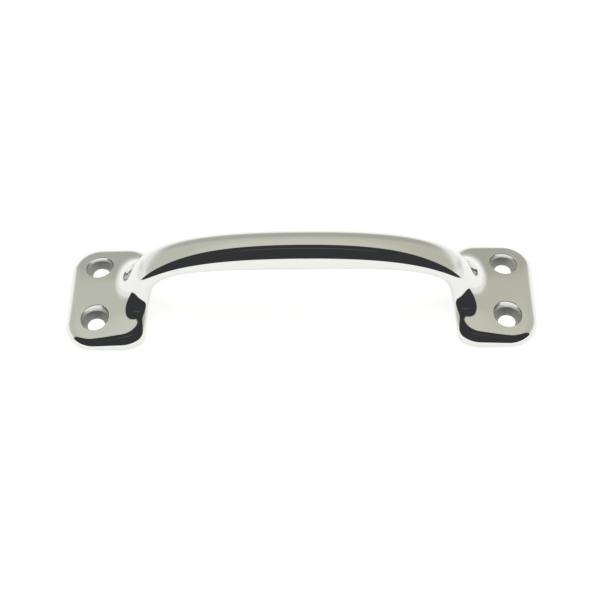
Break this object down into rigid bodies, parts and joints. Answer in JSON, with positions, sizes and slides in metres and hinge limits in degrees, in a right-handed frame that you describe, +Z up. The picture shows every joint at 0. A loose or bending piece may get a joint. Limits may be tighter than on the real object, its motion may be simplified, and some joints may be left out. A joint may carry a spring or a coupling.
{
  "type": "grab rail",
  "caption": "One-piece cast grab rail: an arched, swelled hand bar between two domed feet with countersunk screw holes.",
  "frame": {"origin": "middle of the rail, on the surface that it is screwed to", "axes": "+X along the rail, +Y across it, +Z up from the mounting surface through the crown of the bar"},
  "size_m": [0.155, 0.0414, 0.0318],
  "materials": {
    "polished_steel": "mirror-polished cast stainless steel"
  },
  "bodies": {
    "root": {"rail_casting": "polished_steel"}
  },
  "joints": []
}
